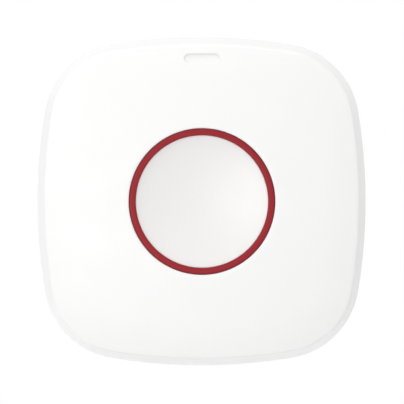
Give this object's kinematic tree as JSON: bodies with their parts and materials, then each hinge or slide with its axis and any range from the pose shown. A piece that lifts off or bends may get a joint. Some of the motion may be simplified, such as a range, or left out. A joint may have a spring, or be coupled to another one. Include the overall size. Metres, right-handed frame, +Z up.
{
  "type": "wireless panic button",
  "caption": "Wall-mounted wireless panic button: a white rounded-square housing with a large dished push button in a red ring and a slot indicator window.",
  "frame": {"origin": "centre of the wall plate's back face, on the button's axis", "axes": "+Z up the wall, -Y out of the wall towards the person, +X to the right as one faces the button"},
  "size_m": [0.062, 0.0176, 0.062],
  "materials": {
    "white_shell": "fine satin moulded texture",
    "white_cap": "smooth satin",
    "red_plastic": "smooth satin",
    "clear_window": "polished, milky",
    "white_inner": "moulded, lightly textured",
    "grey_inner": "moulded",
    "spring_steel": "bright",
    "screw_steel": "zinc plated",
    "board_green": "solder mask",
    "black_plastic": "moulded",
    "tinned_metal": "tinned",
    "lamp_plastic": "clear lens",
    "tan_ceramic": "matt",
    "cell_steel": "nickel plated"
  },
  "bodies": {
    "wall_mount": {"wall_plate": "white_inner"},
    "housing": {"front_cover": "white_shell", "light_window": "clear_window", "rear_cover": "white_inner", "inner_frame": "grey_inner", "return_spring": "spring_steel", "circuit_board": "board_green", "board_screws": "screw_steel", "switch_base": "black_plastic", "switch_terminals": "tinned_metal", "switch_dome": "spring_steel", "switch_cover_plate": "tinned_metal", "indicator_led": "lamp_plastic", "radio_shield": "tinned_metal", "radio_chip": "black_plastic", "microcontroller": "black_plastic", "crystal": "tinned_metal", "antenna": "tinned_metal", "reservoir_capacitor": "black_plastic", "chip_capacitors": "tan_ceramic", "coin_cell": "cell_steel", "battery_positive_contact": "spring_steel", "battery_negative_contact": "spring_steel"},
    "button": {"button_cap": "white_cap", "button_carrier": "red_plastic"},
    "plunger": {"switch_plunger": "black_plastic"}
  },
  "joints": [
    {"name": "unit_release", "type": "slide", "parent": "wall_mount", "child": "housing", "axis": [0, 0, 1], "range_m": [0, 0.0035]},
    {"name": "button_press", "type": "slide", "parent": "housing", "child": "button", "axis": [0, 1, 0], "range_m": [0, 0.0006], "stiffness_N_per_m": 2000, "springref_m": -0.0008, "deforming": ["return_spring"]},
    {"name": "plunger_press", "type": "slide", "parent": "housing", "child": "plunger", "axis": [0, 1, 0], "range_m": [0, 0.0006], "deforming": ["switch_dome"]}
  ],
  "couplings": [
    {"joint": "plunger_press", "follows": "button_press", "ratio": 1}
  ]
}
